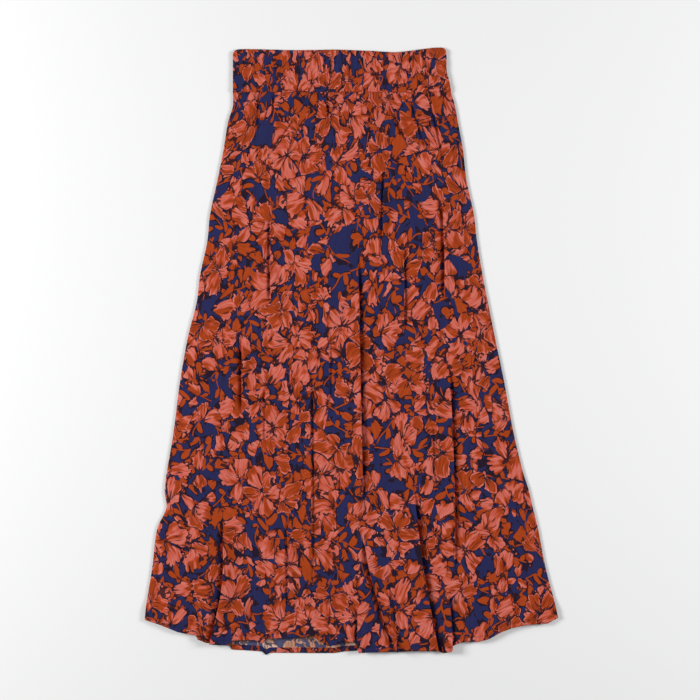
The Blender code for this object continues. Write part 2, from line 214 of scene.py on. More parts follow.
def lay_motifs(tree, cloth, chance_line, below, motif):
    """Lay a layer of petals, three to five round each scattered centre, over what is below.

    A layer is (form, grain, line): form holds the distance inside a petal's edge, the part of its length and
    its kind, grain places the brush strokes, and line is 1 on the dark line round a petal.
    """
    turned = add(tree, "Mapping", cloth, (motif.shift, motif.shift / 3, 0), (0, 0, motif.turn))
    cell = {"Scale": 1 / motif.pitch, "Randomness": motif.jitter, "Detail": 0.0}
    centre = add(tree, "TexVoronoi", turned, out="Position", named=cell, voronoi_dimensions="2D")
    chance = add(tree, "SeparateXYZ", centre.node.outputs["Color"])
    border = add(tree, "TexVoronoi", turned, out="Distance", named=cell, voronoi_dimensions="2D",
                 feature="DISTANCE_TO_EDGE")
    border = add(tree, "Math", border, float(motif.pitch), -BORDER_MM, operation="MULTIPLY_ADD")
    local = add(tree, "VectorMath", turned, centre, operation="SUBTRACT")
    reach = add(tree, "VectorMath", local, operation="LENGTH")
    x = add(tree, "SeparateXYZ", local)
    bearing = add(tree, "Math", x.node.outputs[1], x, operation="ARCTAN2")
    bearing = add(tree, "Math", bearing, 1 / TURN, chance, operation="MULTIPLY_ADD")
    bearing = add(tree, "Math", bearing, operation="FRACT")
    bearing = add(tree, "Math", bearing, float(motif.petals), operation="MULTIPLY")
    number = add(tree, "Math", bearing, operation="FLOOR")
    sector = TURN / motif.petals
    angle = add(tree, "Math", bearing, operation="FRACT")
    angle = add(tree, "Math", angle, sector, -sector / 2, operation="MULTIPLY_ADD")
    own = add(tree, "CombineXYZ", number, chance, chance.node.outputs[1])
    own = add(tree, "TexWhiteNoise", own, out="Color", noise_dimensions="3D")
    luck = add(tree, "SeparateXYZ", own)
    length = add(tree, "Math", luck, PETAL_LENGTH[0] * motif.reach, PETAL_LENGTH[1] * motif.reach,
                 operation="MULTIPLY_ADD")
    tilt = add(tree, "Math", luck.node.outputs[1], PETAL_TILT * sector, -PETAL_TILT / 2 * sector,
               operation="MULTIPLY_ADD")
    angle = add(tree, "Math", angle, tilt)
    along = add(tree, "Math", reach, add(tree, "Math", angle, operation="COSINE"), operation="MULTIPLY")
    beside = add(tree, "Math", reach, add(tree, "Math", angle, operation="SINE"), operation="MULTIPLY")
    part = add(tree, "Math", along, length, operation="DIVIDE")
    half_width = add(tree, "Math", part, PETAL_TAPER[0] * motif.breadth, PETAL_TAPER[1] * motif.breadth,
                     operation="MULTIPLY_ADD")
    half_width = add(tree, "Math", half_width, length, operation="MULTIPLY")
    tip = 1 - PETAL_WIDEST
    egg = add(tree, "Math", part, 1 / tip, -PETAL_WIDEST / tip, operation="MULTIPLY_ADD")
    egg = add(tree, "CombineXYZ", egg, add(tree, "Math", beside, half_width, operation="DIVIDE"))
    egg = add(tree, "VectorMath", egg, operation="LENGTH")
    width_mm = PETAL_WIDTH * motif.reach * motif.breadth
    edge = add(tree, "Math", egg, -width_mm, width_mm, operation="MULTIPLY_ADD")

    seed = add(tree, "VectorMath", own, operation="SCALE", named={"Scale": GRAIN_JUMP_MM})
    grain = add(tree, "VectorMath", add(tree, "CombineXYZ", beside, along), seed)
    lobe = add(tree, "VectorMath", grain, (1 / LOBE_MM[0], 1 / LOBE_MM[1], 0), operation="MULTIPLY")
    lobe = add(tree, "TexVoronoi", lobe, out="Distance", voronoi_dimensions="2D",
               named={"Scale": 1.0, "Detail": 0.0})
    lobe = add(tree, "Math", LOBE_CUT, lobe, operation="SUBTRACT")
    stray = add(tree, "MapRange", part, *LOBE_GROWTH, 0.3 * LOBE_REACH_MM, 1.3 * LOBE_REACH_MM)
    edge = add(tree, "Math", lobe, stray, edge, operation="MULTIPLY_ADD")
    edge = add(tree, "Math", edge, border, operation="MINIMUM")

    spread = add(tree, "Math", chance.node.outputs[2], WHORL[0] * motif.petals, WHORL[1] * motif.petals,
                 operation="MULTIPLY_ADD")
    kept = add(tree, "Math", number, spread, operation="LESS_THAN")
    lucky = add(tree, "Math", luck.node.outputs[2], motif.missing, operation="GREATER_THAN")
    kept = add(tree, "Math", kept, lucky, operation="MULTIPLY")
    lost = add(tree, "Math", edge, FAR_MM, operation="SUBTRACT")
    edge = add(tree, "Math", kept, FAR_MM, lost, operation="MULTIPLY_ADD")
    kind = add(tree, "Math", luck.node.outputs[1], OWN_KIND, operation="MULTIPLY")
    kind = add(tree, "Math", chance.node.outputs[1], 1 - OWN_KIND, kind, operation="MULTIPLY_ADD")
    kind = add(tree, "Math", kind, motif.kind1 - motif.kind0, motif.kind0, operation="MULTIPLY_ADD")
    return lay_over(tree, below, edge, part, kind, grain, chance_line)


def lay_over(tree, below, edge, part, kind, grain, chance_line):
    """The layer with new forms laid over the one below."""
    form = add(tree, "CombineXYZ", edge, part, kind)
    within = add(tree, "Math", edge, 0.0, operation="GREATER_THAN")
    near = add(tree, "Math", add(tree, "Math", edge, chance_line), 0.0, operation="GREATER_THAN")
    near = add(tree, "Math", near, below[2], operation="MAXIMUM")
    line = add(tree, "Math", near, within, operation="SUBTRACT", use_clamp=True)
    return (add(tree, "Mix", within, below[0], form, data_type="VECTOR"),
            add(tree, "Mix", within, below[1], grain, data_type="VECTOR"), line)


def lay_sprigs(tree, cloth, chance_line, below):
    """Lay scattered sprigs over what is below: a thin bent stem with small leaves on both sides by turns."""
    cell = {"Scale": 1 / SPRIG_PITCH_MM, "Randomness": SPRIG_JITTER, "Detail": 0.0}
    centre = add(tree, "TexVoronoi", cloth, out="Position", named=cell, voronoi_dimensions="2D")
    chance = add(tree, "SeparateXYZ", centre.node.outputs["Color"])
    local = add(tree, "VectorMath", cloth, centre, operation="SUBTRACT")
    bearing = add(tree, "Math", chance, TURN, operation="MULTIPLY")
    local = add(tree, "VectorRotate", local, named={"Angle": bearing}, rotation_type="Z_AXIS")
    x = add(tree, "SeparateXYZ", local)
    y = x.node.outputs[1]
    bend = add(tree, "Math", chance.node.outputs[1], 2 * SPRIG_BEND, -SPRIG_BEND, operation="MULTIPLY_ADD")
    x = add(tree, "Math", add(tree, "Math", y, y, operation="MULTIPLY"), bend, x, operation="MULTIPLY_ADD")
    beside = add(tree, "Math", x, operation="ABSOLUTE")
    stem = add(tree, "Math", STEM_MM / 2, beside, operation="SUBTRACT")
    end = add(tree, "Math", SPRIG_MM / 2, add(tree, "Math", y, operation="ABSOLUTE"), operation="SUBTRACT")
    stem = add(tree, "Math", stem, end, operation="MINIMUM")

    turn = add(tree, "Math", x, 0.0, operation="GREATER_THAN")
    place = add(tree, "Math", turn, 0.5, operation="MULTIPLY")
    place = add(tree, "Math", y, 1 / LEAF_PITCH_MM, place, operation="MULTIPLY_ADD")
    number = add(tree, "Math", place, operation="FLOOR")
    place = add(tree, "Math", place, operation="FRACT")
    place = add(tree, "Math", place, LEAF_PITCH_MM, -LEAF_START * LEAF_PITCH_MM, operation="MULTIPLY_ADD")
    luck = add(tree, "TexWhiteNoise", add(tree, "CombineXYZ", number, turn, chance), out="Value",
               noise_dimensions="3D")
    out = add(tree, "VectorRotate", add(tree, "CombineXYZ", beside, place), named={"Angle": LEAF_ANGLE},
              rotation_type="Z_AXIS")
    size = add(tree, "Math", luck, *LEAF_SIZE, operation="MULTIPLY_ADD")
    size = add(tree, "Math", 1.0, size, operation="DIVIDE")
    out = add(tree, "VectorMath", out, operation="SCALE", named={"Scale": size})
    out = add(tree, "VectorMath", out, (0.0, -LEAF_MM[1] / 2 - LEAF_STALK_MM, 0.0))
    leaf = add(tree, "VectorMath", out, (2 / LEAF_MM[0], 2 / LEAF_MM[1], 0), operation="MULTIPLY")
    leaf = add(tree, "VectorMath", leaf, operation="LENGTH")
    leaf = add(tree, "Math", leaf, -LEAF_MM[0] / 2, LEAF_MM[0] / 2, operation="MULTIPLY_ADD")
    middle = add(tree, "Math", number, 0.5)
    middle = add(tree, "Math", middle, operation="ABSOLUTE")
    reached = add(tree, "Math", SPRIG_MM / 2 / LEAF_PITCH_MM, middle, operation="SUBTRACT")
    lucky = add(tree, "Math", luck, LEAF_MISSING, operation="SUBTRACT")
    reached = add(tree, "Math", lucky, reached, operation="MINIMUM")
    reached = add(tree, "Math", reached, 10 * FAR_MM, operation="MULTIPLY")
    leaf = add(tree, "Math", leaf, reached, operation="MINIMUM")
    edge = add(tree, "Math", stem, leaf, operation="MAXIMUM")
    fine_line = add(tree, "Math", chance_line, 0.5, operation="MULTIPLY")
    return lay_over(tree, below, edge, 1.0, 2.5, out, fine_line)


def printed_viscose(name, palette):
    """The printed cloth, in one side's colours."""
    material, tree = new_material(name)
    place = add(tree, "UVMap", uv_map="cloth")
    cloth = add(tree, "VectorMath", place, operation="SCALE", named={"Scale": MM_IN_METRE})
    upright = add(tree, "VectorMath", cloth, (1.0, 1 / UPRIGHT, 1.0), operation="MULTIPLY")
    swayed = add(tree, "TexNoise", upright, out="Color", noise_dimensions="2D",
                 named={"Scale": 1 / SWAY_PITCH_MM, "Detail": 1.0})
    swayed = add(tree, "VectorMath", swayed, (2 * SWAY_MM, 2 * SWAY_MM, 0), upright, operation="MULTIPLY_ADD")
    patches = add(tree, "TexNoise", upright, out="Color", noise_dimensions="2D",
                  named={"Scale": 1 / PATCH_PITCH_MM, "Detail": 1.0})
    patches = add(tree, "SeparateXYZ", patches)
    chance_line = add(tree, "Math", patches, OUTLINE_MM[1], OUTLINE_MM[0], operation="MULTIPLY_ADD")

    nothing = add(tree, "CombineXYZ", -1.0, 0.0, 0.0)
    layer = (nothing, nothing, add(tree, "Value"))
    layer = lay_sprigs(tree, swayed, chance_line, layer)
    for motif in MOTIFS:
        layer = lay_motifs(tree, swayed, chance_line, layer, motif)
    form, grain, line = layer
    edge = add(tree, "SeparateXYZ", form)
    part, kind = edge.node.outputs[1], edge.node.outputs[2]
    fine = add(tree, "VectorMath", grain, (1 / STREAK_MM[0], 1 / STREAK_MM[1], 0), operation="MULTIPLY")
    fine = add(tree, "TexNoise", fine, out="Color", noise_dimensions="2D",
               named={"Scale": 1.0, "Detail": 0.0})
    fine = add(tree, "SeparateXYZ", fine)
    broad = add(tree, "VectorMath", grain, (1 / FLAME_MM[0], 1 / FLAME_MM[1], 0), operation="MULTIPLY")
    broad = add(tree, "VectorMath", broad, FLAME_SHIFT)
    broad = add(tree, "TexNoise", broad, out="Fac", noise_dimensions="2D",
                named={"Scale": 1.0, "Detail": 1.0})

    rim = add(tree, "Math", fine.node.outputs[1], RIM_MM, -RIM_OUTWARD * RIM_MM, operation="MULTIPLY_ADD")
    rim = add(tree, "Math", edge, rim, operation="SUBTRACT")
    rimmed = add(tree, "MapRange", rim, *RIM_EDGE_MM, RIM_TONE, BODY_TONE)
    broad = add(tree, "Math", broad, 0.5, operation="SUBTRACT")
    heart = add(tree, "MapRange", broad, *HEART, 0.0, HEART_LIFT)
    rimmed = add(tree, "Math", rimmed, heart, operation="SUBTRACT")
    flame = add(tree, "MapRange", kind, 1.0, 2.0, *FLAME_RUN)
    flame_part = add(tree, "Math", part, PETAL_WIDEST, operation="SUBTRACT")
    flame = add(tree, "Math", flame_part, flame, operation="MULTIPLY")
    flame = add(tree, "Math", broad, FLAME_PLAY, flame, operation="MULTIPLY_ADD")
    flamed = add(tree, "MapRange", flame, *FLAME_EDGE, BODY_TONE, FLAME_TONE)
    tone = add(tree, "Mix", add(tree, "Math", kind, 1.0, operation="GREATER_THAN"), rimmed, flamed,
               data_type="FLOAT")
    leaf = add(tree, "Math", kind, 2.0, operation="GREATER_THAN")
    tone = add(tree, "Mix", leaf, tone, LEAF_TONE, data_type="FLOAT")
    play = add(tree, "Math", leaf, -BRUSH_PLAY[1], BRUSH_PLAY[0], operation="MULTIPLY_ADD")
    brushed = add(tree, "Math", fine, 0.5, operation="SUBTRACT")
    tone = add(tree, "Math", brushed, play, tone, operation="MULTIPLY_ADD")
    ramp = add(tree, "ValToRGB", tone).node
    while len(ramp.color_ramp.elements) < len(RAMP):
        ramp.color_ramp.elements.new(0.5)
    for element, position, colour in zip(ramp.color_ramp.elements, RAMP, palette[1:6]):
        element.position = position
        element.color = linear(colour)
    petals = ramp.outputs["Color"]
    throat = add(tree, "Math", fine.node.outputs[1], *THROAT, operation="MULTIPLY_ADD")
    throat = add(tree, "Math", throat, part, operation="SUBTRACT")
    throat = add(tree, "MapRange", throat, *THROAT_EDGE, 0.0, THROAT_DARK)
    petals = add(tree, "Mix", throat, petals, linear(palette.dark), data_type="RGBA")

    vein = add(tree, "MapRange", fine.node.outputs[2], VEIN[0], VEIN[1], 0.0, VEIN[2])
    vein = add(tree, "Math", vein, leaf, operation="SUBTRACT", use_clamp=True)
    petals = add(tree, "Mix", vein, petals, linear(palette.dark), data_type="RGBA")

    slub = add(tree, "VectorMath", cloth, (1 / SLUB_MM[0], 1 / SLUB_MM[1], 1.0), operation="MULTIPLY")
    slub = add(tree, "TexNoise", slub, out="Fac", noise_dimensions="2D", named={"Scale": 1.0, "Detail": 1.0})
    shade = add(tree, "MapRange", slub, *SLUB_EDGE, 0.0, SLUB_DARK)
    ground = add(tree, "Mix", shade, linear(palette.navy), linear(palette.dark), data_type="RGBA")
    petal = add(tree, "Math", edge, 0.0, operation="GREATER_THAN")
    colour = add(tree, "Mix", petal, ground, petals, data_type="RGBA")
    line = add(tree, "Math", line, OUTLINE_DARK, operation="MULTIPLY")
    colour = add(tree, "Mix", line, colour, linear(palette.dark), data_type="RGBA")

    threads = add(tree, "VectorMath", cloth, operation="SCALE", named={"Scale": TURN / THREAD_MM})
    warp = add(tree, "SeparateXYZ", add(tree, "VectorMath", threads, operation="SINE"))
    weave = add(tree, "Math", warp, warp.node.outputs[1], operation="MULTIPLY")
    crinkle = add(tree, "TexNoise", cloth, out="Fac", noise_dimensions="2D",
                  named={"Scale": 1 / CRINKLE_MM, "Detail": 2.0})
    relief = add(tree, "Math", crinkle, CRINKLE_HEIGHT, weave, operation="MULTIPLY_ADD")
    normal = add(tree, "Bump", named={"Height": relief, "Strength": 0.18, "Distance": 0.0003})
    shader = add(tree, "BsdfPrincipled", named={
        "Base Color": colour, "Normal": normal, "Roughness": 0.85, "Specular IOR Level": 0.12,
        "Sheen Weight": 0.02, "Sheen Roughness": 0.5})
    add(tree, "OutputMaterial", shader)
    return material


right_side = printed_viscose("printed_viscose", RIGHT_SIDE)
wrong_side = printed_viscose("printed_viscose_wrong_side", WRONG_SIDE)

# Back panel
# One flared piece of printed viscose, cut about 51 cm wide at the waist and 76 cm at the hem. It lies flat,
# its right side on the surface, and its paler wrong side shows where the front's hem is drawn up.
CLOTH = 0.0005               # thickness of the shell that stands for the cloth
SEAM_GAP = 0.0003            # between pieces that are sewn together or lie on each other
SIDE_TUCK = 0.0015           # the back's edges lie this far inside the front's
BAND_DEPTH = 0.0692
SKIRT_TOP = BAND_DEPTH + SEAM_GAP / 2
LOWEST_DOWN = 0.9842         # the pinch in the back hem
HIGHEST_DOWN = -0.0033       # the waist's right-hand corner
MIDDLE_DOWN = (LOWEST_DOWN + HIGHEST_DOWN) / 2

# The outline that both panels share, in metres down from the waist and across from the middle
Station = namedtuple("Station", "down left right")
STATIONS = [Station(*row) for row in (
    (0.0692, -0.1929, 0.162), (0.092, -0.1929, 0.1685), (0.1148, -0.2002, 0.1726),
    (0.1636, -0.2084, 0.1815), (0.2125, -0.2182, 0.1872), (0.2694, -0.2304, 0.1994),
    (0.3101, -0.2344, 0.204), (0.3671, -0.2466, 0.2133), (0.4078, -0.2515, 0.2214),
    (0.4664, -0.2662, 0.2331), (0.5397, -0.2792, 0.2483), (0.6227, -0.2898, 0.2637),
    (0.6846, -0.3004, 0.2784), (0.7155, -0.304, 0.2882), (0.7432, -0.3012, 0.2947),
    (0.7757, -0.3158, 0.3028), (0.8392, -0.324, 0.315), (0.9011, -0.3337, 0.3305),
    (0.9272, -0.3362, 0.3362),
)]
EdgePoint = namedtuple("EdgePoint", "across down")
FRONT_HEM = [EdgePoint(*row) for row in (
    (-0.3362, 0.9272), (-0.3101, 0.9353), (-0.2825, 0.9467), (-0.2523, 0.9524), (-0.2499, 0.9589),
    (-0.2352, 0.9646), (-0.1986, 0.9691), (-0.1952, 0.9605), (-0.1571, 0.9597), (-0.1457, 0.9654),
    (-0.1359, 0.9573), (-0.0838, 0.9556), (-0.0643, 0.9516), (-0.0513, 0.9621), (-0.0383, 0.9695),
    (-0.0236, 0.9678), (-0.0138, 0.963), (0.0098, 0.9638), (0.0138, 0.9804), (0.079, 0.9784),
    (0.1376, 0.9766), (0.149, 0.9809), (0.1604, 0.9784), (0.164, 0.97), (0.175, 0.9646), (0.188, 0.9621),
    (0.2043, 0.963), (0.2239, 0.9581), (0.2418, 0.9477), (0.2605, 0.9402), (0.2841, 0.9353),
    (0.3183, 0.933), (0.3362, 0.9239),
)]
BACK_HEM_SHOWING = [EdgePoint(*row) for row in (
    (-0.1962, 0.9752), (-0.1734, 0.9763), (-0.1457, 0.9783), (-0.1392, 0.9842), (-0.1327, 0.9804),
    (-0.0545, 0.9809), (-0.0269, 0.9809), (-0.0138, 0.9784), (0.0098, 0.9768),
)]
HEM_JOGS = 0.88              # part of the length below which the rows follow the hem's jogs
HEM_SMOOTHING = (-0.036, -0.024, -0.012, 0.0, 0.012, 0.024, 0.036)    # and above it the mean over these
BACK_COLUMNS = 150
BACK_ROWS = 110
BACK_RIPPLE = 0.00035
BACK_WRINKLE = (0.018, 0.05, 9.1)    # pitch across and down the cloth, and seed, as for all wrinkles
FRACTAL = (0.9, 2.1, 3)      # finer wrinkles in wrinkles: how fast they weaken, how much finer, how often
BACK_PRINT_SHIFT = 0.731     # the back is cut from another stretch of the cloth


def ease(value):
    """Smooth step from 0 to 1."""
    value = np.clip(value, 0.0, 1.0)
    return value * value * (3 - 2 * value)


def smooth_curve(keys, values, at):
    """Read a smooth curve through the points (keys, values)."""
    keys, values = np.array(keys), np.array(values)
    row = np.clip(np.searchsorted(keys, at) - 1, 0, len(keys) - 2)
    before, after = np.maximum(row - 1, 0), np.minimum(row + 2, len(keys) - 1)
    span = keys[row + 1] - keys[row]
    part = np.clip((at - keys[row]) / span, 0, 1)
    start = (values[row + 1] - values[before]) / (keys[row + 1] - keys[before]) * span
    finish = (values[after] - values[row]) / (keys[after] - keys[row]) * span
    squared, cubed = part ** 2, part ** 3
    return ((2 * cubed - 3 * squared + 1) * values[row] + (cubed - 2 * squared + part) * start
            + (3 * squared - 2 * cubed) * values[row + 1] + (cubed - squared) * finish)


def left_edge(down):
    return smooth_curve([s.down for s in STATIONS], [s.left for s in STATIONS], down)


def right_edge(down):
    return smooth_curve([s.down for s in STATIONS], [s.right for s in STATIONS], down)


def front_hem(across):
    return np.interp(across, [p.across for p in FRONT_HEM], [p.down for p in FRONT_HEM])


def back_hem(across):
    """Where the back's hem lies: along its table where it shows, else just inside the front's hem."""
    shown = np.interp(across, [p.across for p in BACK_HEM_SHOWING], [p.down for p in BACK_HEM_SHOWING])
    showing = (across >= BACK_HEM_SHOWING[0].across) & (across <= BACK_HEM_SHOWING[-1].across)
    return np.where(showing, shown, front_hem(across) - SIDE_TUCK)


def panel_place(share, part, hem, tuck=0.0):
    """Across and down of points of a skirt panel, at shares of its width and parts of its length.

    The rows follow the hem's jogs near the hem only.
    """
    side_down = SKIRT_TOP + part * (STATIONS[-1].down - SKIRT_TOP)
    across = (left_edge(side_down) + tuck) * (1 - share) + (right_edge(side_down) - tuck) * share
    foot = (STATIONS[-1].left + tuck) * (1 - share) + (STATIONS[-1].right - tuck) * share
    steady = sum(hem(foot + shift) for shift in HEM_SMOOTHING) / len(HEM_SMOOTHING)
    foot_down = steady + (hem(foot) - steady) * ease((part - HEM_JOGS) / (1 - HEM_JOGS))
    return across, SKIRT_TOP + part * (foot_down - SKIRT_TOP)


def wrinkles(across, down, across_pitch, down_pitch, seed):
    """Chance wrinkles, from -1 to 1, at a pitch across the cloth and another down it."""
    places = zip((across / across_pitch).ravel(), (down / down_pitch).ravel())
    heights = [noise.fractal(Vector((u, v, seed)), *FRACTAL) for u, v in places]
    return np.array(heights).reshape(np.shape(down))


def to_points(across, down, height):
    return np.stack([across, MIDDLE_DOWN - down, height], axis=-1)


def grid_quads(rows, columns):
    """Quads between the points of a grid, whose faces look up where the rows run down the cloth."""
    index = np.arange(rows * columns).reshape(rows, columns)
    return np.stack([index[1:, :-1], index[1:, 1:], index[:-1, 1:], index[:-1, :-1]], axis=-1).reshape(-1, 4)


def cloth_object(name, vertices, quads, printed, materials):
    """A smooth mesh of quads with the print's coordinates as its UV map."""
    mesh = bpy.data.meshes.new(name)
    mesh.from_pydata(vertices.tolist(), [], quads.tolist())
    coordinates = mesh.uv_layers.new(name="cloth")
    corner_vertex = np.empty(len(mesh.loops), dtype=np.int32)
    mesh.loops.foreach_get("vertex_index", corner_vertex)
    coordinates.data.foreach_set("uv", printed[corner_vertex].ravel())
    mesh.shade_smooth()
    for material in materials:
        mesh.materials.append(material)
    return link_object(name, mesh)


def sheet_object(name, points, printed, thickness, face_down=False):
    """One layer of cloth through a grid of points on its right side, with the wrong side inside."""
    quads = grid_quads(*points.shape[:2])
    if face_down:
        quads = quads[:, ::-1]
    piece = cloth_object(name, points.reshape(-1, 3), quads, printed.reshape(-1, 2), [right_side, wrong_side])
    solidify = piece.modifiers.new("thickness", "SOLIDIFY")
    solidify.thickness = thickness
    solidify.offset = -1
    solidify.material_offset = 1
    solidify.use_quality_normals = True
    return piece


share = np.linspace(0, 1, BACK_COLUMNS)[None, :]
part = np.linspace(0, 1, BACK_ROWS)[:, None]
across, down = panel_place(share, part, back_hem, SIDE_TUCK)
ripple = BACK_RIPPLE * (1 + wrinkles(across, down, *BACK_WRINKLE)) / 2
printed = np.stack([BACK_PRINT_SHIFT - across, -down], axis=-1)
points = to_points(across, down, np.clip(ripple, 0, None))
skirt_back = sheet_object("skirt_back_cloth", points, printed, CLOTH, face_down=True)
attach(skirt_back, "root")
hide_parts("skirt_back")

# Back hem
# The lower edge of the back panel is turned up 8 mm over the wrong side, so that a strip of the right side
# shows below the front's hem, left of the middle. A pinch in it pokes out there.
HEM_DEPTH = 0.0082
HEM_COLUMNS = 330
BACK_STRIP_CLOTH = 0.0004
BACK_STRIP_PUCKER = 0.00018
BACK_STRIP_WRINKLE = (0.006, 0.02, 5.5)
STRIP_PRINT = (-0.219, 0.143)    # the stretch of the print that shows on the strip starts here

# The strip in section, in metres above the fold and above the surface: round the fold and up to the raw edge
StripLine = namedtuple("StripLine", "above height")
STRIP = [StripLine(*row) for row in (
    (-0.0004, 0.0007), (-0.0006, 0.0012), (0.0004, 0.0016), (0.003, 0.0017), (0.0068, 0.0015),
    (HEM_DEPTH, 0.0011), (HEM_DEPTH, 0.0008),
)]
hem_share = np.linspace(0, 1, HEM_COLUMNS)[None, :]
hem_across, hem_down = panel_place(hem_share, 1.0, back_hem, SIDE_TUCK)
above = np.array([line.above for line in STRIP])[:, None]
across = np.broadcast_to(hem_across, (len(STRIP), HEM_COLUMNS))
down = hem_down - above
pucker = BACK_STRIP_PUCKER * wrinkles(across, down, *BACK_STRIP_WRINKLE)
height = np.array([line.height for line in STRIP])[:, None] + pucker
printed = np.stack([across + STRIP_PRINT[0], above + STRIP_PRINT[1] + 0 * across], axis=-1)
hem_back = sheet_object("hem_back_cloth", to_points(across, down, height)[::-1], printed[::-1],
                        BACK_STRIP_CLOTH)
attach(hem_back, "root")
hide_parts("hem_back")

# Front panel
# The same flared piece as the back, lying on it with its right side up. Its top edge is gathered into the
# waistband, and the flare lies in long upright folds that overlap a few millimetres.
SOLID_CLOTH = 0.0012         # thickness of the CAD wall on which the shell lies
HEM_WALL = 0.0010
STITCH_ABOVE = 0.0070        # the hem's stitches lie this far above its fold
HEM_GROOVE = 0.0006          # the stitches draw the cloth in by this, over the next line's width
HEM_GROOVE_WIDTH = 0.0010
HEM_PUCKER = 0.0005          # and pucker it by this
HEM_PUCKER_REACH = 0.012     # the puckers die away over this distance above the hem
HEM_PUCKER_START = 1.4       # and are gone at this many times it
HEM_WRINKLE = (0.0095, 0.03, 8.3)
AIR = 0.0016                 # trapped air lifts the middle of the panel
EDGE_RISE = 0.030            # distance from a side edge over which it lifts
HEM_LIFT = 2 * (HEM_WALL + SEAM_GAP)
HEM_RISE = 0.035             # distance above the turned-up strips over which they lift it
WAVE = 0.0009                # height of the broad swells left in the flare, where two waves cross
WAVE_ACROSS = (34.0, -21.0)  # radians for each metre across the cloth, of one wave and of the other
WAVE_DOWN = (2.5, 9.0)
WAVE_START = (0.2, 0.3)      # the swells begin this far down and are full this much further down
WRINKLE_HEIGHT = 0.00045
FRONT_WRINKLE = (0.022, 0.062, 3.7)
WRINKLE_ROOM = 0.012         # distance from a side edge over which wrinkles and creases set in
LEAN_ROOM = 0.010            # the same for the lean of the folds
SEAM_PRESS = 0.28            # the seam presses this part of the height flat
SEAM_DIP = 0.006             # and the gathers rise out of it over this distance

# The gathers are uneven in place, in length and in height. The place is in parts of their spacing.
GATHERS = 26
Uneven = namedtuple("Uneven", "mean play turn phase")
GATHER_PLACE = Uneven(0.5, 0.18, 2.4, 0.0)
GATHER_REACH = Uneven(0.085, 0.04675, 1.7, 0.6)
GATHER_HEIGHT = Uneven(0.0018, 0.00084, 2.9, math.pi / 2)
GATHER_WIDTH = 0.62

# Large folds. Each runs from its first point through its middle one to its last, rises steeply on one side,
# +1 for the right, and dies away over the soft width on the other. "hidden" is the cloth lost in its overlap.
Fold = namedtuple("Fold", "down0 across0 down1 across1 down2 across2 height soft side hidden")
FOLDS = [Fold(*row) for row in (
    (0.307, 0.0073, 0.522, 0.0114, 0.78, 0.0171, 0.0055, 0.028, 1, 0.009),
    (0.782, 0.0187, 0.877, 0.0399, 0.99, 0.079, 0.005, 0.022, -1, 0.007),
    (0.86, 0.054, 0.93, 0.066, 0.99, 0.079, 0.003, 0.016, 1, 0.003),
    (0.26, -0.1294, 0.345, -0.1294, 0.425, -0.129, 0.004, 0.018, -1, 0.006),
    (0.18, 0.058, 0.253, 0.0545, 0.325, 0.0529, 0.0035, 0.016, -1, 0.004),
    (0.3, 0.0803, 0.383, 0.083, 0.47, 0.0838, 0.0035, 0.016, 1, 0.004),
    (0.23, 0.15, 0.326, 0.1538, 0.42, 0.1538, 0.0048, 0.02, -1, 0.007),
    (0.49, 0.155, 0.685, 0.1636, 0.87, 0.1655, 0.0052, 0.024, 1, 0.006),
    (0.455, -0.175, 0.53, -0.1755, 0.605, -0.175, 0.0048, 0.02, -1, 0.006),
    (0.535, -0.1376, 0.59, -0.1372, 0.65, -0.137, 0.0028, 0.014, -1, 0.002),
    (0.48, -0.07, 0.7, -0.0676, 0.9, -0.0676, 0.0028, 0.016, 1, 0.003),
    (0.7, 0.097, 0.825, 0.1105, 0.99, 0.14, 0.0065, 0.028, 1, 0.009),
    (0.745, -0.2062, 0.87, -0.2068, 0.99, -0.233, 0.006, 0.026, -1, 0.008),
    (0.75, -0.1018, 0.831, -0.1001, 0.92, -0.1018, 0.0034, 0.018, -1, 0.004),
    (0.44, -0.0383, 0.512, -0.0383, 0.585, -0.0383, 0.0024, 0.014, 1, 0.002),
    (0.6, 0.1278, 0.655, 0.129, 0.715, 0.1311, 0.0024, 0.014, 1, 0.002),
    (0.88, 0.156, 0.935, 0.16, 0.99, 0.1625, 0.004, 0.014, 1, 0.004),
    (0.9, 0.012, 0.945, 0.0122, 0.99, 0.0122, 0.004, 0.02, -1, 0.003),
    (0.073, 0.056, 0.11, 0.074, 0.155, 0.095, 0.003, 0.01, -1, 0.004),
    (0.078, 0.099, 0.125, 0.113, 0.172, 0.127, 0.0028, 0.01, -1, 0.004),
    (0.073, 0.129, 0.125, 0.142, 0.182, 0.154, 0.0032, 0.01, -1, 0.004),
    (0.071, -0.0445, 0.09, -0.043, 0.115, -0.0415, 0.0028, 0.009, 1, 0.003),
    (0.071, -0.159, 0.096, -0.158, 0.13, -0.158, 0.0024, 0.009, 1, 0.002),
    (0.071, -0.124, 0.092, -0.124, 0.118, -0.126, 0.0022, 0.008, -1, 0.002),
    (0.071, 0.012, 0.09, 0.013, 0.112, 0.014, 0.0022, 0.008, 1, 0.002),
    (0.11, -0.095, 0.129, -0.109, 0.15, -0.125, 0.0024, 0.01, 1, 0.003),
)]
FOLD_STEEP = 0.0018          # a fold's steep side is this wide before it leans over
FOLD_LEAN = 0.60             # how far a crest leans out over what lies beside it, for each metre of height
FOLD_TROUGH = 0.68           # depth of the trough under the crest's overhang, for each metre of height
TROUGH_PLACE = 0.0040
TROUGH_WIDTH = 0.0024
FOLD_FADE = 0.22             # part of a fold's length over which each end dies away
HEM_PAST = 0.985             # a fold whose last point is further down than this has no lower end

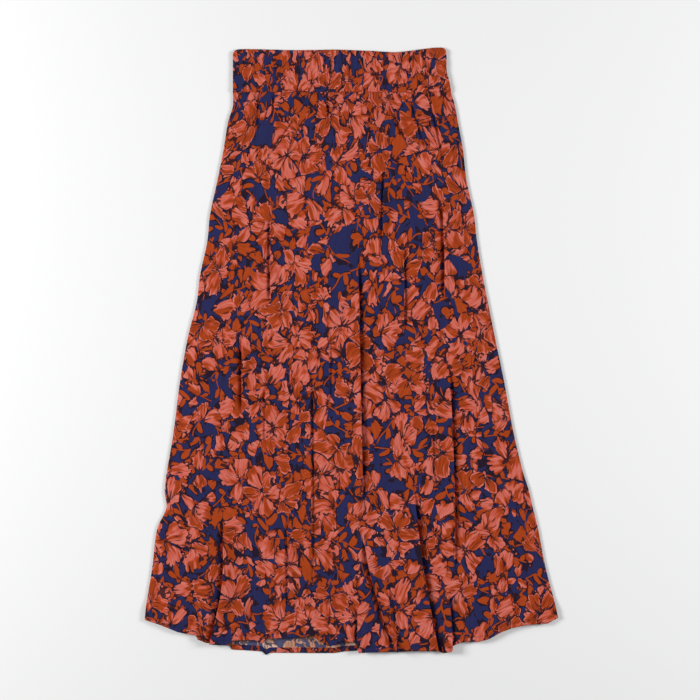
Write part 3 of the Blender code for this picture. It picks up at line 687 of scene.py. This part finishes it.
# Small creases: narrow soft troughs, or ridges where the depth is negative
Crease = namedtuple("Crease", "down0 across0 down1 across1 depth width")
CREASES = [Crease(*row) for row in (
    (0.07, -0.18, 0.113, -0.173, 0.0011, 0.0022), (0.07, -0.17, 0.096, -0.165, 0.0008, 0.0018),
    (0.07, -0.152, 0.101, -0.148, 0.0008, 0.0022), (0.07, -0.14, 0.09, -0.1395, 0.0006, 0.0018),
    (0.07, -0.127, 0.108, -0.124, 0.001, 0.002), (0.07, -0.112, 0.091, -0.111, 0.0006, 0.0018),
    (0.07, -0.095, 0.1, -0.093, 0.0008, 0.0022), (0.07, -0.07, 0.093, -0.069, 0.0006, 0.0018),
    (0.07, -0.041, 0.118, -0.04, 0.0011, 0.002), (0.07, -0.024, 0.093, -0.023, 0.0006, 0.0016),
    (0.07, 0.012, 0.112, 0.013, 0.0011, 0.002), (0.07, 0.033, 0.095, 0.033, 0.0006, 0.0018),
    (0.07, 0.05, 0.101, 0.052, 0.0008, 0.002), (0.07, 0.069, 0.126, 0.076, 0.0012, 0.0022),
    (0.07, 0.083, 0.118, 0.09, 0.001, 0.002), (0.07, 0.096, 0.137, 0.106, 0.0014, 0.0024),
    (0.07, 0.109, 0.13, 0.119, 0.0012, 0.002), (0.07, 0.121, 0.141, 0.131, 0.0013, 0.0024),
    (0.07, 0.134, 0.11, 0.139, 0.0009, 0.002), (0.07, 0.147, 0.125, 0.156, 0.001, 0.0022),
    (0.19, -0.154, 0.27, -0.153, 0.0007, 0.003), (0.325, -0.159, 0.395, -0.158, 0.0007, 0.0028),
    (0.19, 0.017, 0.248, 0.018, 0.0007, 0.0028), (0.66, -0.001, 0.89, 0.002, 0.0008, 0.003),
    (0.69, 0.164, 0.88, 0.165, 0.0006, 0.0024), (0.43, -0.215, 0.61, -0.223, 0.0009, 0.0045),
    (0.52, 0.196, 0.71, 0.217, 0.0009, 0.005), (0.55, -0.015, 0.74, -0.021, 0.0006, 0.004),
    (0.34, 0.126, 0.56, 0.118, 0.0007, 0.0045), (0.21, -0.092, 0.42, -0.096, 0.0008, 0.005),
    (0.64, 0.059, 0.86, 0.07, 0.0008, 0.0045), (0.7, 0.233, 0.93, 0.26, 0.001, 0.0055),
    (0.69, -0.264, 0.92, -0.283, 0.001, 0.0055), (0.76, -0.154, 0.95, -0.164, 0.0009, 0.0045),
    (0.78, -0.045, 0.94, -0.048, 0.0007, 0.0035), (0.15, -0.062, 0.33, -0.066, 0.0006, 0.004),
    (0.16, 0.115, 0.26, 0.117, 0.0007, 0.0035), (0.145, -0.185, 0.23, -0.195, 0.0007, 0.0035),
    (0.708, -0.304, 0.726, -0.29, -0.0012, 0.0035), (0.722, -0.302, 0.742, -0.283, -0.001, 0.003),
    (0.74, -0.301, 0.756, -0.286, 0.0009, 0.003), (0.26, 0.03, 0.47, 0.034, 0.0006, 0.004),
    (0.0945, -0.1915, 0.1045, -0.172, 0.0026, 0.0055), (0.1166, -0.0988, 0.1441, -0.1213, 0.0014, 0.0045),
    (0.079, 0.069, 0.139, 0.098, 0.0024, 0.0022), (0.0836, 0.116, 0.1436, 0.1355, 0.0024, 0.0022),
    (0.07, 0.086, 0.1234, 0.1029, 0.0022, 0.002), (0.0817, 0.1509, 0.1487, 0.1618, 0.0022, 0.002),
    (0.07, -0.074, 0.108, -0.0755, 0.002, 0.0018), (0.07, -0.172, 0.1241, -0.1767, 0.0022, 0.002),
    (0.125, 0.059, 0.185, 0.0585, 0.0014, 0.0028), (0.104, -0.148, 0.19, -0.156, 0.001, 0.0034),
)]
CREASE_FADE = 0.30           # part of a crease's length over which each end dies away
SEAM_CREASE_FADE = 0.70      # the same for the lower end of a crease that runs into the seam
AT_SEAM = 0.001              # a crease that starts this close to the seam does so

COLUMNS = 236
ROWS = 178
ROW_CROWDING = 0.35          # how much closer the rows stand at the waist and at the hem
HEM_ROWS = (0.0118, 0.0098, 0.0082, 0.0071, 0.0060, 0.0046, 0.0028, 0.0012)    # rows this far above the hem
HEM_ROWS_CLEAR = 0.002
CROWDING = (0.76, 0.08)      # the columns crowd at the jogs below this part, over this much

# How many more columns stand at a crest, at a crease and at a jog, how far beyond it, and over what width,
# which is in widths of the crease for a crease
Crowd = namedtuple("Crowd", "gain beyond width")
AT_CREST = Crowd(9.0, 0.0014, 0.0030)
AT_CREASE = Crowd(1.6, 0.0, 1.3)
AT_JOG = Crowd(1.2, 0.0, 0.0030)
SAMPLES = 2400               # places along a row at which this is worked out
EDGE_ROUND = 0.0004          # the outermost points lie this much lower, so that the edges are round
EDGE_DOWN = 0.0009           # and one more line of points turns down and in beyond them
SIDE_IN = 0.0003
HEM_IN = 0.0005
SEAM_ALLOWANCE = 0.0060      # what the band covers of the panel's gathered edge
ALLOWANCE_HEIGHT = 0.0021
SEAM_LINES = ((0, 0.00022, -0.0004), (0, 0.00004, 0), (0, SEAM_ALLOWANCE, 0))    # from the seam upwards
PRINT_GATHER = 0.40          # cloth that the gathers take up at the seam, for each metre of width
PRINT_GATHER_REACH = 0.09


def fold_reading(fold, across, down):
    """How strong a fold is at each place, and how far the place lies beyond its crest."""
    part = (down - fold.down0) / (fold.down2 - fold.down0)
    swell = ease(part / FOLD_FADE)
    if fold.down2 < HEM_PAST:
        swell = swell * ease((1 - part) / FOLD_FADE)
    crest = smooth_curve([fold.down0, fold.down1, fold.down2], [fold.across0, fold.across1, fold.across2],
                         np.clip(down, fold.down0, fold.down2))
    return swell, (across - crest) * fold.side


def crease_reading(crease, across, down):
    """How strong a crease is at each place, and how far the place lies to its right."""
    part = (down - crease.down0) / (crease.down1 - crease.down0)
    swell = ease(part / CREASE_FADE) * ease((1 - part) / CREASE_FADE)
    if crease.down0 < SKIRT_TOP + AT_SEAM:
        swell = ease((1 - part) / SEAM_CREASE_FADE)
    line = crease.across0 + np.clip(part, 0, 1) * (crease.across1 - crease.across0)
    return swell, across - line


def uneven(rule, index):
    return rule.mean + rule.play * math.sin(rule.turn * index + rule.phase)


def gather_height(share, down):
    """Height of the gathers at shares of the panel's width."""
    below = down - SKIRT_TOP
    height = np.zeros_like(below)
    for index in range(GATHERS):
        offset = np.abs(share * GATHERS - index - uneven(GATHER_PLACE, index))
        fading = 1 - ease(below / uneven(GATHER_REACH, index))
        height += uneven(GATHER_HEIGHT, index) * ease(1 - offset / GATHER_WIDTH) * fading
    return height


def front_surface(share, part):
    """The front panel's outer face: across, down and height of each point, and the print's coordinates."""
    across, down = panel_place(share, part, front_hem)
    inside = np.minimum(across - left_edge(down), right_edge(down) - across)
    hem = ease(1 - (front_hem(across) - down - HEM_DEPTH) / HEM_RISE)
    waves = [slope * across + WAVE_DOWN[i] * down for i, slope in enumerate(WAVE_ACROSS)]
    swells = (1 + np.sin(waves[0]) * np.cos(waves[1])) * ease((down - WAVE_START[0]) / WAVE_START[1])
    loft = ease(inside / EDGE_RISE) * (AIR + WAVE * swells)
    loft += gather_height(share, down)
    room = ease(inside / WRINKLE_ROOM)
    for crease in CREASES:
        swell, offset = crease_reading(crease, across, down)
        loft -= room * crease.depth * swell * np.exp(-(offset / crease.width) ** 2)
    loft += room * WRINKLE_HEIGHT * wrinkles(across, down, *FRONT_WRINKLE)
    above_hem = front_hem(across) - down
    loft -= HEM_GROOVE * np.exp(-((above_hem - STITCH_ABOVE) / HEM_GROOVE_WIDTH) ** 2)
    near = ease(HEM_PUCKER_START - above_hem / HEM_PUCKER_REACH)
    loft += HEM_PUCKER * wrinkles(across, down, *HEM_WRINKLE) * near
    loft *= 1 - SEAM_PRESS * (1 - ease((down - SKIRT_TOP) / SEAM_DIP))
    height = 2 * SOLID_CLOTH + SEAM_GAP + HEM_LIFT * hem + loft
    lean = np.zeros_like(down)
    hidden = np.zeros_like(down)
    for fold in FOLDS:
        swell, beyond = fold_reading(fold, across, down)
        rise = fold.height * swell * ease(1 - np.abs(beyond) / np.where(beyond > 0, FOLD_STEEP, fold.soft))
        trough = np.exp(-((beyond - TROUGH_PLACE) / TROUGH_WIDTH) ** 2) * (beyond > 0)
        height += rise - FOLD_TROUGH * fold.height * swell * trough
        lean += fold.side * FOLD_LEAN * rise
        hidden += fold.side * fold.hidden * swell * ease(beyond / FOLD_STEEP)
    taken_up = 1 + PRINT_GATHER * np.exp(-(down - SKIRT_TOP) / PRINT_GATHER_REACH)
    printed = np.stack([across * taken_up + hidden, -down], axis=-1)
    return across + lean * ease(inside / LEAN_ROOM), down, height, printed


def crowded_shares(part, count):
    """Shares of the width for one row's columns, closer together where a fold or crease needs them."""
    share = np.linspace(0, 1, SAMPLES)
    across, down = panel_place(share, part, front_hem)
    wanted = np.ones_like(share)
    for fold in FOLDS:
        swell, beyond = fold_reading(fold, across, down)
        wanted += AT_CREST.gain * swell * np.exp(-((beyond - AT_CREST.beyond) / AT_CREST.width) ** 2)
    for crease in CREASES:
        swell, offset = crease_reading(crease, across, down)
        wanted += AT_CREASE.gain * swell * np.exp(-(offset / (AT_CREASE.width * crease.width)) ** 2)
    near_hem = float(ease((part - CROWDING[0]) / CROWDING[1]))
    for corner in FRONT_HEM[1:-1]:
        wanted += AT_JOG.gain * near_hem * np.exp(-((across - corner.across) / AT_JOG.width) ** 2)
    total = np.concatenate([[0], np.cumsum((wanted[1:] + wanted[:-1]) / 2)])
    return np.interp(np.linspace(0, total[-1], count), total, share)


def with_line(grid, axis, at, offset):
    """The grid with one more line of points beyond its first (at 0) or last (at -1), offset from it."""
    line = np.take(grid, [at], axis=axis) + np.array(offset)
    return np.concatenate([line, grid] if at == 0 else [grid, line], axis=axis)


parts = np.linspace(0, 1, ROWS)
parts = ROW_CROWDING * ease(parts) + (1 - ROW_CROWDING) * parts
hem_rows = 1 - np.array(HEM_ROWS) / (STATIONS[-1].down - SKIRT_TOP)
parts = np.concatenate([parts[parts < hem_rows[0] - HEM_ROWS_CLEAR], hem_rows, [1.0]])
shares = np.array([crowded_shares(part, COLUMNS) for part in parts])
across, down, height, printed = front_surface(shares, parts[:, None])
points = to_points(across, down, height)
hem_length = front_hem(points[-1][None, :, 0]) - SKIRT_TOP
for edge_line in (points[-1], points[:, 0], points[:, -1]):
    edge_line[:, 2] -= EDGE_ROUND
points = with_line(points, 0, -1, (0, HEM_IN, -EDGE_DOWN))
for offset in SEAM_LINES:
    points = with_line(points, 0, 0, offset)
points[:2, :, 2] = ALLOWANCE_HEIGHT
points = with_line(points, 1, 0, (SIDE_IN, 0, -EDGE_DOWN))
points = with_line(points, 1, -1, (-SIDE_IN, 0, -EDGE_DOWN))
for axis, at in ((0, -1), (0, 0), (0, 0), (0, 0), (1, 0), (1, -1)):
    printed = with_line(printed, axis, at, (0, 0))
skirt_front = sheet_object("skirt_front_cloth", points, printed, CLOTH)
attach(skirt_front, "root")
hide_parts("skirt_front")

# Front hem
# The lower edge of the front panel is turned up 8 mm to the inside and stitched down, so that its strip lies
# under the panel with its right side on the back panel.
FRONT_STRIP = (0.0004, 0.0030, 0.0056, HEM_DEPTH)    # rows this far above the fold
STRIP_CLEAR = 0.0001         # it hangs this much lower than the panel's wall needs
STRIP_END = 2                # columns at each side of the panel that the strip stops short of

strip_parts = 1 - np.array(FRONT_STRIP)[:, None] / hem_length
across, down, height, printed = front_surface(shares[-1][None, :], strip_parts)
points = to_points(across, down, height - SOLID_CLOTH - SEAM_GAP - STRIP_CLEAR)[:, STRIP_END:-STRIP_END]
printed = printed[:, STRIP_END:-STRIP_END] * (1, -1)
hem_front = sheet_object("hem_front_cloth", points, printed, CLOTH, face_down=True)
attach(hem_front, "root")
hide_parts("hem_front")

# Hem stitching
# A single row of lockstitch in dark blue thread, 7 mm above the fold, holds each turned-up hem. It shows on
# the outside as short dashes with small gaps.
STITCH_PITCH = 0.0030
STITCH_LENGTH = 0.0021
STITCH_WIDTH = 0.00045
STITCH_SKEW = 0.09           # a stitch may lie askew by this many radians
STITCH_SEED = 4
STITCH_END = 3               # points at each end of its path that a row stops short of
FRONT_STITCH_RISE = 0.0001   # middle of the front's stitches above the panel's outer face
BACK_STITCH_HEIGHT = 0.0019  # middle of the back's stitches above the surface

# Spun and dyed cotton: nearly matt, with a faint gloss on each stitch
thread_cotton, tree = new_material("dark_blue_thread")
add(tree, "OutputMaterial", add(tree, "BsdfPrincipled", named={
    "Base Color": linear("#1d1d3a"), "Roughness": 0.7, "Specular IOR Level": 0.2}))

stitching = bpy.data.node_groups.new("stitching", "GeometryNodeTree")
sockets = {}
for name, kind in (("Path", "Geometry"), ("Pitch", "Float"), ("Length", "Float"), ("Width", "Float"),
                   ("Seed", "Int"), ("Thread", "Material")):
    socket = stitching.interface.new_socket(name, in_out="INPUT", socket_type="NodeSocket" + kind)
    sockets[name] = socket.identifier
stitching.interface.new_socket("Stitches", in_out="OUTPUT", socket_type="NodeSocketGeometry")

given = add(stitching, "NodeGroupInput").node.outputs
curve = add(stitching, "GeometryNodeMeshToCurve", given["Path"])
places = add(stitching, "GeometryNodeResampleCurve", curve, mode="LENGTH", named={"Length": given["Pitch"]})
along_path = add(stitching, "GeometryNodeInputTangent")
turned = add(stitching, "FunctionNodeAlignRotationToVector", axis="X", named={"Vector": along_path})
skew = add(stitching, "FunctionNodeRandomValue", -STITCH_SKEW, STITCH_SKEW, data_type="FLOAT",
           named={"Seed": given["Seed"]})
skew = add(stitching, "CombineXYZ", 0.0, 0.0, skew)
turned = add(stitching, "FunctionNodeRotateRotation", turned, skew, rotation_space="LOCAL")
size = add(stitching, "CombineXYZ", given["Length"], given["Width"], given["Width"])
bead = add(stitching, "GeometryNodeMeshUVSphere", named={"Radius": 0.5, "Segments": 8, "Rings": 4})
row = add(stitching, "GeometryNodeInstanceOnPoints", places,
          named={"Instance": bead, "Rotation": turned, "Scale": size})
row = add(stitching, "GeometryNodeRealizeInstances", row)
row = add(stitching, "GeometryNodeSetMaterial", row, named={"Material": given["Thread"]})
add(stitching, "NodeGroupOutput", row)


def stitch_row(name, path, seed):
    """A row of stitches along a path of points, as a plain mesh."""
    line = bpy.data.meshes.new(name + "_path")
    line.from_pydata(path.tolist(), [(i, i + 1) for i in range(len(path) - 1)], [])
    carrier = link_object(name + "_path", line)
    modifier = carrier.modifiers.new("stitching", "NODES")
    modifier.node_group = stitching
    for key, value in (("Pitch", STITCH_PITCH), ("Length", STITCH_LENGTH), ("Width", STITCH_WIDTH),
                       ("Seed", seed), ("Thread", thread_cotton)):
        modifier[sockets[key]] = value
    made = bpy.data.meshes.new_from_object(carrier.evaluated_get(bpy.context.evaluated_depsgraph_get()))
    bpy.data.objects.remove(carrier)
    made.name = name
    made.shade_smooth()
    return link_object(name, made)


back_path = to_points(hem_across, hem_down - STITCH_ABOVE, np.full_like(hem_down, BACK_STITCH_HEIGHT))
back_stitches = stitch_row("hem_stitches_back", back_path[0, STITCH_END:-STITCH_END], STITCH_SEED + 1)
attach(back_stitches, "root")

across, down, height, printed = front_surface(shares[-1][None, :], 1 - STITCH_ABOVE / hem_length)
front_path = to_points(across, down, height + FRONT_STITCH_RISE)
front_stitches = stitch_row("hem_stitches_front", front_path[0, STITCH_END:-STITCH_END], STITCH_SEED)
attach(front_stitches, "root")

# Waistband back
# The back half of a 7 cm band, its right side on the surface: the printed cloth doubled over wide flat
# elastic, which ruches it to two thirds of its cut width in fine upright puckers. Its top is a soft fold.
WAIST_EDGE = [EdgePoint(*row) for row in (
    (-0.1929, 0.0062), (-0.1905, 0.0022), (-0.186, 0.0), (-0.1734, -0.0008), (-0.0838, 0.0008),
    (-0.0269, 0.0), (0.0383, 0.0024), (0.0708, 0.0041), (0.1034, 0.0008), (0.1278, -0.0024),
    (0.1457, -0.0033), (0.152, -0.001), (0.1545, 0.004),
)]
BAND_SIDE_RIGHT = [EdgePoint(*row) for row in (
    (0.1545, 0.004), (0.1548, 0.035), (0.16, 0.054), (0.162, 0.0692),
)]
BAND_BOTTOM = BAND_DEPTH - SEAM_GAP / 2
BACK_BAND_THICK = 0.0013
BAND_COLUMNS = 300
BAND_ROWS = 30
BAND_CROWDING = 1.15         # the rows stand closer near the top
BAND_ROUND = 0.0022          # the top and side edges round off over this distance
BAND_EDGE = 0.35             # part of the thickness that is left at the very edge
BAND_PRESS = 0.10            # the seam with the panels presses this part of the height flat
PUCKER_HEIGHT = 0.0009
PUCKER_MEAN = 0.45
PUCKER_PITCH = (0.0062, 0.030)
FINE_PUCKER = 0.5            # fine puckers, in parts of the others' height
FINE_PITCH = (0.0030, 0.012)
TOP_STRAY = 0.0007           # the puckers push the top edge to and fro by this
TOP_PITCH = (0.0042, 0.05)
TOP_REACH = 0.08
RUCHED = 1.42                # cut width for each metre of the finished width
SHUFFLE = 0.0030             # how far the puckers shift the print to and fro
SHUFFLE_PITCH = (0.0050, 0.022)
SHUFFLE_DOWN = 0.7


def band_place(share, part):
    """Across and down of points of the waistband, whose right side leans out a little."""
    left = WAIST_EDGE[0].across
    top_across = left + share * (WAIST_EDGE[-1].across - left)
    top_down = smooth_curve([p.across for p in WAIST_EDGE], [p.down for p in WAIST_EDGE], top_across)
    down = top_down + part * (BAND_BOTTOM - top_down)
    right = np.interp(down, [p.down for p in BAND_SIDE_RIGHT], [p.across for p in BAND_SIDE_RIGHT])
    return left + share * (right - left), down


def band_half(name, under, thick, seed, face_down, print_shift):
    """Half of the band as a closed wall of doubled cloth, puckered on its outer face."""
    share = np.linspace(0, 1, BAND_COLUMNS)[None, :]
    part = np.linspace(0, 1, BAND_ROWS)[:, None] ** BAND_CROWDING
    across, down = band_place(share, part)
    top_down = band_place(share, 0 * part)[1]
    from_edge = np.minimum(down - top_down, np.minimum(share, 1 - share) * (across[:, -1:] - across[:, :1]))
    rim = np.sqrt(1 - (1 - np.clip(from_edge / BAND_ROUND, 0, 1)) ** 2)
    rim = rim * (1 - BAND_PRESS * (1 - ease((BAND_BOTTOM - down) / BAND_ROUND)))
    pucker = wrinkles(across, down, *PUCKER_PITCH, seed)
    pucker += FINE_PUCKER * wrinkles(across, down, *FINE_PITCH, seed + 4)
    outer = thick * (BAND_EDGE + (1 - BAND_EDGE) * rim)
    outer = outer + PUCKER_HEIGHT * rim * np.clip(PUCKER_MEAN + pucker, 0, None)
    down = down + TOP_STRAY * wrinkles(across, 0 * down, *TOP_PITCH, seed + 8) * ease(1 - part / TOP_REACH)
    shuffle = SHUFFLE * wrinkles(across, down, *SHUFFLE_PITCH, seed + 2)
    printed = np.stack([across * RUCHED + shuffle + print_shift, SHUFFLE_DOWN * shuffle - down], axis=-1)
    inner = to_points(across, down, under + 0 * across)
    outer = to_points(across, down, under + outer)
    if face_down:
        inner[..., 2] = under + thick
        outer[..., 2] = under + (outer[..., 2].max() - outer[..., 2])
    count = inner.shape[0] * inner.shape[1]
    quads = grid_quads(*inner.shape[:2])
    index = np.arange(count).reshape(inner.shape[:2])
    rim_line = np.concatenate([index[0], index[1:, -1], index[-1, -2::-1], index[-2:0:-1, 0]])
    rim_next = np.roll(rim_line, -1)
    walls = np.stack([rim_line, rim_line + count, rim_next + count, rim_next], axis=-1)
    if face_down:
        quads = quads[:, ::-1]
        walls = walls[:, ::-1]
    faces = np.concatenate([quads[:, ::-1], quads + count, walls])
    vertices = np.concatenate([inner.reshape(-1, 3), outer.reshape(-1, 3)])
    return cloth_object(name, vertices, faces, np.concatenate([printed.reshape(-1, 2)] * 2), [right_side])


waistband_back = band_half("waistband_back_cloth", under=0.0, thick=BACK_BAND_THICK, seed=6.1, face_down=True,
                           print_shift=2.611)
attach(waistband_back, "root")
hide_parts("waistband_back")

# Waistband front
# The front half of the same band, lying on the back half with its right side up. The band is sewn to the
# gathered edges of both panels, and the side seams round its corners.
BAND_UNDER = 0.0024          # height of the front half's underside
BAND_THICK = 0.0018
waistband_front = band_half("waistband_front_cloth", under=BAND_UNDER, thick=BAND_THICK, seed=2.7,
                            face_down=False, print_shift=1.937)
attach(waistband_front, "root")
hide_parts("waistband_front")
